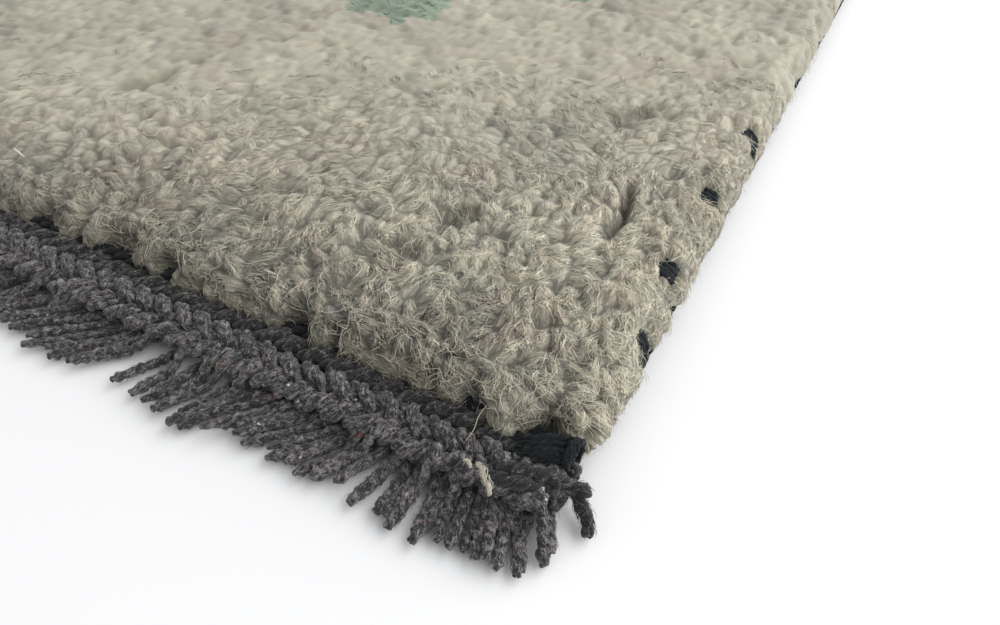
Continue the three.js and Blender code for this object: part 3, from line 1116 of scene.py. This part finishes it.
# Charcoal yarns at the corner: two laid over the plait's end, a loose tail on the floor and a stub.
# Each has its points from the corner, its thickness and its stations.
CORNER_YARNS = [
    ([(-16, -7.4, 7), (-12.5, -8.4, 9.2), (-7, -6.8, 9.4), (-2.6, -5.0, 8.2), (-0.6, -4.0, 5.6)], 1.6, 30),
    ([(-17, -10.4, 6.5), (-12, -10.6, 8.6), (-7, -9.4, 8.2), (-3.4, -7.2, 6.6), (-1.4, -5.4, 4.2)], 1.5, 30),
    ([(-3, -4, 6), (0, -4, 5), (2.0, -5.2, 3), (4.4, -7.4, 1.8), (6.0, -10.4, 1.6)], 1.3, 24),
    ([(-4, -5, 7), (-1, -4.4, 6.6), (1.5, -3.6, 5.6), (3.2, -3.8, 4.6)], 1.1, 16),
]
COIL_THICK = 1.3
CORNER_TONE = -1.9
BUNDLE_YARNS = 5
BUNDLE_THICK = 0.66

# Single strays, from the corner: a white slub, a smaller one, a white hair over the edge and a short straw.
# Each has its points, its thickness and how many strands it has.
STRAYS = [
    ([(-18.4, -10.8, 10.2), (-16.6, -11.4, 10.6), (-15.6, -13.2, 10.2), (-13.8, -13.8, 9.9),
      (-13.0, -15.6, 9.0)], 0.36, 36),
    ([(-21, -11.2, 9.8), (-19.8, -11.4, 10.2), (-18.8, -12.2, 9.8)], 0.26, 12),
    ([(-22, 0.5, 14), (-22.6, -2.4, 13), (-22.2, -5.0, 11.4), (-23, -8, 10)], 0.1, 1),
    ([(-174.7, 13.6, 17.4), (-175.2, 12.0, 21.4)], 0.34, 1)]
STRAY_STATIONS = 12
STRAY_HAIRS = 270
STRAY_HAIR_STATIONS = 9
STRAY_HAIR_RADIUS = 0.045

# Loose hairs of the yarns and edges, and how many the edges have near the corner, with draws of their own
HAIR_RADIUS = 0.05
EDGE_HAIRS = 1500
EDGE_HAIRS_REACH = 210
EDGE_DRAWS = np.random.default_rng(77120)


def both_ways(points, way):
    """Points laid out for the right side or the front end, turned round for the other one"""
    return points if way > 0 else points * np.array([-1, -1, 1])


def add_selvedge(side, way):
    """Edge warps overcast with dark yarn, with thicker wraps where the side tufts part"""
    reach = GROUND_HALF_LENGTH - SELVEDGE_INSET
    middle = (cord_low + cord_high) / 2
    y = np.arange(-reach, reach, 2.0)
    core = np.stack([np.full(len(y), middle[0]), y, np.full(len(y), middle[2])], axis=-1)[None]
    parts = [tubes(both_ways(core, way), np.full(core.shape[:2], CORE_RADIUS), 8, tone=np.zeros(1))]
    turn = np.arange(0, 2 * reach / OVERCAST_PITCH, 1 / OVERCAST_STEPS[way])
    y = -reach + turn * OVERCAST_PITCH
    radius = OVERCAST_RADIUS + 0.12 * lumps(y, turn, 1.7, 41)
    around_x = middle[0] + radius * np.cos(TAU * turn)
    around_z = middle[2] + radius * np.sin(TAU * turn)
    helix = both_ways(np.stack([around_x, y, around_z], axis=-1)[None], way)
    radii = (OVERCAST_THICK + 0.1 * lumps(y, turn, 2.9, 42))[None]
    parts.append(tubes(helix, radii, OVERCAST_SIDES[way], tone=0.4 * lumps(y, y, 21, 43)[None]))
    # The thicker wraps reach up into the gaps between the tufts
    starts = np.array([spot[1] for spot in WRAPS])
    turn = np.linspace(0, WRAP_TURNS, 54)[None]
    loop_y = starts[:, None] + WRAP_SPACING * (turn - WRAP_TURNS / 2) + 0.3 * np.sin(TAU * turn * 0.7)
    loop_x = WRAP_X + (WRAP_REACH + DRAWS.normal(0, 0.15, (len(starts), 1))) * np.cos(TAU * turn)
    loop_z = np.maximum(WRAP_Z + WRAP_RISE * np.sin(TAU * turn), 1.0) * np.ones((len(starts), 1))
    wraps = both_ways(np.stack([loop_x, loop_y, loop_z], axis=-1), way)
    tone = DRAWS.normal(0, 0.3, len(wraps))
    parts.append(tubes(wraps, np.full(wraps.shape[:2], WRAP_THICK), 6, tone=tone))
    return new_piece("overcast_" + side, parts, teal_wool, ["selvedge_" + side])


def band_line(x, y, z, seed):
    """A line along an end, wandering a little"""
    return np.stack([
        x, y + 0.6 * lumps(x, x, 19, seed) + 0.3 * lumps(x, x, 6, seed + 1),
        z + 0.35 * lumps(x, x, 14, seed + 2)], axis=-1)[None]


def add_end(end, way):
    """The plait of three twined ropes, the dark weft row inside it and the cut warps of an end"""
    x = np.arange(-GROUND_HALF_WIDTH - 4, GROUND_HALF_WIDTH + 4, STRAND_STEP)
    split = int(np.argmin(np.abs(x - (CORNER[0] + FINE_EDGE)))) if way > 0 else len(x) - 1
    fine, coarse, fuzzy = [], [], []
    for index, (y, z, strand, hand) in enumerate(ROPES):
        middle = band_line(x, y, z, 50 + 5 * index)
        strands = wound(middle, strand * 0.95, hand * ROPE_TWIST, index * 1.3, 0.75)
        for number, line in enumerate(strands):
            if split < len(x) - 1:
                tone = ROPE_TONES_AND_SHADE[index] + 0.1 * number
                near = line[None, split:]
                part, lines, radii, tones = yarn(near, strand * 1.08, 6, PLY_TWIST * hand, tone)
                fine.append(part)
                fuzzy.append((lines, radii, tones))
            rest = line[None, :split + 2][:, ::2]
            radii = strand * (1 + 0.1 * lumps(rest[..., 0], rest[..., 1], 3.3, 61))
            coarse.append(tubes(both_ways(rest, way), radii, 6, tone=DRAWS.normal(0, 0.3, 1)))
    for lines, radii, tones in fuzzy:
        fine.append(fuzz(lines, radii, tones, ROPE_HAIRS))
    if way > 0:
        fine += corner_wraps()
    replaced = ["end_plait_" + end]
    pieces = [new_piece("plait_ropes_" + end, coarse + fine, charcoal_wool, replaced)]

    wefts = []
    for line in wound(band_line(x[::2], *WEFT_ROW, 71), 0.85, 8.0):
        radii = np.full((1, len(line)), WEFT_THICK)
        wefts.append(tubes(both_ways(line[None], way), radii, 5, tone=np.full(1, WEFT_PAINTED_SHADE)))
    if way > 0:
        wefts += corner_bundle()
    pieces.append(new_piece("weft_row_" + end, wefts, teal_wool))

    lines = warp_lines()
    along = CORNER[0] + 4 - lines[:, 0, 0]
    near = (along < -FINE_EDGE + 10) & (way > 0)
    parts = []
    if near.any():
        parts += fuzzy_yarn(lines[near], WARP_RADIUS, 5.0, 44, fly=0.7)
    rest = lines[~near][:, ::2]
    parts.append(yarn(both_ways(rest, way), WARP_RADIUS, 4, 7.0)[0])
    pieces.append(new_piece("cut_warps_" + end, parts, charcoal_wool, ["fringe_" + end]))
    return pieces


def fuzzy_yarn(paths, radius, twist, hairs, tone=0.0, fly=0.8):
    """Plied yarn along each path with its loose fibres"""
    part, lines, radii, tones = yarn(paths, radius, 6, twist, tone)
    return [part, fuzz(lines, radii, tones, hairs, fly)]


def warp_lines():
    """Centre lines of the cut warps of the front end, from over or under the plait down to the floor"""
    edge = GROUND_HALF_WIDTH + 3.5
    root = np.concatenate([np.arange(-edge, edge, WARP_PITCH), CORNER[0] - np.arange(7, 45, 2.6)])
    count = len(root)
    root = root + DRAWS.normal(0, 0.35, count) + 1.2 * lumps(root, root, 15, 81)
    along = HALF_WIDTH - root
    mean_slope, mean_reach = [np.interp(along, FRINGE_LIE[:, 0], FRINGE_LIE[:, row]) for row in (1, 2)]
    slope = mean_slope + 0.34 * lumps(root, root, 11, 82) + DRAWS.normal(0, 0.16, count)
    reach = mean_reach + 1.3 * lumps(root, root, 7, 83) + DRAWS.normal(0, 1.0, count)
    t = np.linspace(0, 1, 15)[None]
    start, outer = WARP_START, -ROPES[-1][0] + 2.5
    out = start + (outer + reach[:, None] - start) * t
    past = np.maximum(out - (start + 3), 0)
    x = root[:, None] - slope[:, None] * past
    waves = t * DRAWS.uniform(0.5, 1.1, (count, 1)) + DRAWS.uniform(0, 1, (count, 1))
    x = x + 0.45 * np.sin(TAU * waves) * t
    over = DRAWS.uniform(0, 1, (count, 1)) < WARPS_OVER
    high = np.where(over, WARP_HEIGHT_OVER, WARP_HEIGHT_UNDER) + DRAWS.normal(0, 0.3, (count, 1))
    fall = ease(outer - 1.5, outer + 4.5, out)
    settled = WARP_RADIUS + 0.15 + np.abs(DRAWS.normal(0, 0.7, (count, 1))) * t
    z = high * (1 - fall) + settled * fall
    dip = ease(start, start + 4, out)
    z = z * dip + 4.0 * (1 - dip)
    return np.stack([x, -out, np.maximum(z, WARP_RADIUS + 0.1)], axis=-1)


def at_corner(rows, steps):
    """A smooth line through points given from the front right corner of the pile"""
    rows = np.array(rows, float)
    knots = np.linspace(0, 1, len(rows))
    t = np.linspace(0, 1, steps)
    line = np.stack([np.interp(t, knots, rows[:, axis]) for axis in range(3)], axis=-1)
    soften = max(1, steps // (2 * len(rows)))
    for _ in range(soften):
        line[1:-1] = (line[:-2] + 2 * line[1:-1] + line[2:]) / 4
    return (line + [CORNER[0], CORNER[1], 0])[None]


def corner_wraps():
    """Charcoal yarn wrapped round the plait's end, and its loose tail on the floor"""
    turn = np.linspace(0, 2.2, 44)
    coil = np.stack([
        CORNER[0] - 6.0 + 2.2 * turn, CORNER[1] - 4.6 + 4.6 * np.cos(TAU * turn),
        4.9 + 3.4 * np.sin(TAU * turn)], axis=-1)[None]
    parts = fuzzy_yarn(coil, COIL_THICK, 5.0, 120, CORNER_TONE)
    for rows, thick, steps in CORNER_YARNS:
        parts += fuzzy_yarn(at_corner(rows, steps), thick, 5.0, 120, CORNER_TONE)
    return parts


def corner_bundle():
    """Dark teal yarns laid along the corner over the plait, with an upright wrap at their end"""
    parts = []
    for step in range(BUNDLE_YARNS):
        line = at_corner([
            (-15.0, 0.9 * step - 3.6, 7.0 + 0.5 * step), (-12.2, 1.0 * step - 5.6, 8.8 + 0.6 * step),
            (-8.0, 1.05 * step - 4.0, 9.4 + 0.7 * step), (-4.6, 1.1 * step - 2.4, 9.2 + 0.7 * step),
            (-2.2, 1.0 * step - 1.0, 7.4 + 0.6 * step)], 30)
        parts += fuzzy_yarn(line, BUNDLE_THICK, 4.0, 30, 0.3 * (step % 2))
    turn = np.linspace(0, 2.3, 40)
    loop = np.stack([
        CORNER[0] - 3.4 + 0.7 * turn, CORNER[1] + 0.4 + 3.5 * np.cos(TAU * turn),
        8.8 + 3.6 * np.sin(TAU * turn)], axis=-1)[None]
    return parts + fuzzy_yarn(loop, BUNDLE_THICK, 4.0, 40, -0.1)


def add_stray_wool(tufts):
    """Long pale hairs that lie curled on the pile, the single strays and the hairs of the edges"""
    count = STRAY_HAIRS
    x = CORNER[0] - 2 - 150 * DRAWS.uniform(0, 1, (count, 1)) ** 1.6
    y = CORNER[1] - 2 + 110 * DRAWS.uniform(0, 1, (count, 1)) ** 1.6
    t = np.linspace(0, 1, STRAY_HAIR_STATIONS)[None]
    heading = DRAWS.uniform(0, TAU, (count, 1)) + t * DRAWS.normal(0, 2.4, (count, 1))
    heading = heading + 0.6 * np.sin(TAU * (1.3 * t + DRAWS.uniform(0, 1, (count, 1))))
    step = DRAWS.uniform(4, 11, (count, 1)) / (STRAY_HAIR_STATIONS - 1)
    x = x + np.cumsum(np.cos(heading), axis=1) * step
    y = y + np.cumsum(np.sin(heading), axis=1) * step
    surface, _ = tufts.surface(x, y)
    z = surface + 0.4 + 0.9 * np.abs(np.sin(TAU * (0.8 * t + DRAWS.uniform(0, 1, (count, 1)))))
    hairs = roll(np.stack([x, y, z], axis=-1))
    radii = STRAY_HAIR_RADIUS * DRAWS.uniform(0.7, 1.3, (count, 1)) * np.ones(STRAY_HAIR_STATIONS)
    tone = 0.2 + 0.6 * DRAWS.normal(0, 1, count)
    marks = pile_marks(count, tone, np.full(count, 0.6), np.ones(count), 0.0)
    parts = [spindles(hairs, radii, np.broadcast_to(UP, hairs.shape), **marks)]
    for rows, thick, strands in STRAYS:
        line = np.repeat(at_corner(rows, STRAY_STATIONS), strands, axis=0)
        taper = np.sin(np.linspace(0.15, 3.0, STRAY_STATIONS))[None, :, None] ** 0.6
        line = line + thick * taper * DRAWS.normal(0, 0.75, (strands, 1, 3)) * (strands > 1)
        line = line + thick * DRAWS.normal(0, 0.45, line.shape) * (strands > 1)
        radii = np.full((strands, STRAY_STATIONS), thick / (1 + 0.11 * strands)) * taper[..., 0]
        tone = 0.8 * (strands < 2) - 0.5 + 0.8 * DRAWS.normal(0, 1, strands)
        marks = pile_marks(strands, tone, np.full(strands, 0.6), np.ones(strands), 0.0)
        parts.append(spindles(line, radii, np.broadcast_to(UP, line.shape), **marks))
    parts.append(edge_hairs(tufts))
    return new_piece("stray_hairs", parts, greige_wool)


def edge_hairs(tufts):
    """Short fibres that stand off the rounded side and end of the pile near the corner"""
    size = (EDGE_HAIRS, 1)
    t = np.linspace(0, 1, FIBRE_STATIONS)[None]
    at_side = EDGE_DRAWS.uniform(0, 1, size) < 0.5
    run = EDGE_HAIRS_REACH * EDGE_DRAWS.uniform(0, 1, size) ** 1.3
    past = EDGE_DRAWS.uniform(-8, 8, size)
    heading = np.where(at_side, 0, -TAU / 4) + EDGE_DRAWS.normal(0, 1.0, size)
    length = EDGE_DRAWS.uniform(2.0, 5.5, size) * t
    bend = EDGE_DRAWS.normal(0, 0.8, size) * t
    x = np.where(at_side, ROLL_FROM[0] + 6 + past, CORNER[0] - run) + length * np.cos(heading + bend)
    y = np.where(at_side, CORNER[1] + run, -ROLL_FROM[1] - 6 - past) + length * np.sin(heading + bend)
    surface, _ = tufts.surface(x, y)
    z = surface + EDGE_DRAWS.uniform(0.3, 2.4, size) * t ** 1.5
    radii = HAIR_RADIUS * EDGE_DRAWS.uniform(0.6, 1.3, size) * np.ones(FIBRE_STATIONS)
    hairs, soft = roll(np.stack([x, y, z], axis=-1), np.broadcast_to(UP, x.shape + (3,)))
    marks = {
        "tone": 0.6 * EDGE_DRAWS.normal(0, 1, EDGE_HAIRS) - 0.2, "warmth": np.full(EDGE_HAIRS, 0.5),
        "rise": np.full(EDGE_HAIRS, 0.9), "crisp": np.zeros(EDGE_HAIRS)}
    return spindles(hairs, radii, soft, **marks)


# Stage: a pale floor, an even world and one large soft light, in metres

FLOOR_SIZE = 8.0
FLOOR_LEVEL = -0.0006
FLOOR_COLOUR = rgb(0.88, 0.88, 0.885)
WORLD_COLOUR = rgb(0.98, 0.99, 1.0)
WORLD_STRENGTH = 0.57
LIGHT_SIZE = (3.0, 2.0)
LIGHT_POWER = 46.0
LIGHT_PLACE = (1.3, 0.35, 0.95)
LIGHT_AIM = (0.15, -0.3, 0.0)


def add_stage():
    deselect()
    bpy.ops.mesh.primitive_plane_add(size=FLOOR_SIZE, location=(0, 0, FLOOR_LEVEL))
    floor = bpy.context.object
    floor.name = "floor"
    floor.data.materials.append(Finish("pale_floor", 0.9).coloured(FLOOR_COLOUR))
    world = bpy.data.worlds.new("studio")
    bpy.context.scene.world = world
    world.use_nodes = True
    background = world.node_tree.nodes["Background"]
    background.inputs["Color"].default_value = WORLD_COLOUR
    background.inputs["Strength"].default_value = WORLD_STRENGTH
    data = bpy.data.lights.new("softbox", "AREA")
    data.shape = "RECTANGLE"
    data.size, data.size_y = LIGHT_SIZE
    data.energy = LIGHT_POWER
    softbox = bpy.data.objects.new("softbox", data)
    softbox.location = LIGHT_PLACE
    aim = Vector(LIGHT_AIM) - softbox.location
    softbox.rotation_euler = aim.to_track_quat("-Z", "Y").to_euler()
    bpy.context.scene.collection.objects.link(softbox)
    bpy.context.scene.view_settings.view_transform = "Standard"
    bpy.context.scene.view_settings.look = "None"


add_camera()
ground = add_ground()
pile = add_pile()
edges = [add_selvedge("right", 1), add_selvedge("left", -1), *add_end("front", 1), *add_end("back", -1)]
add_stage()
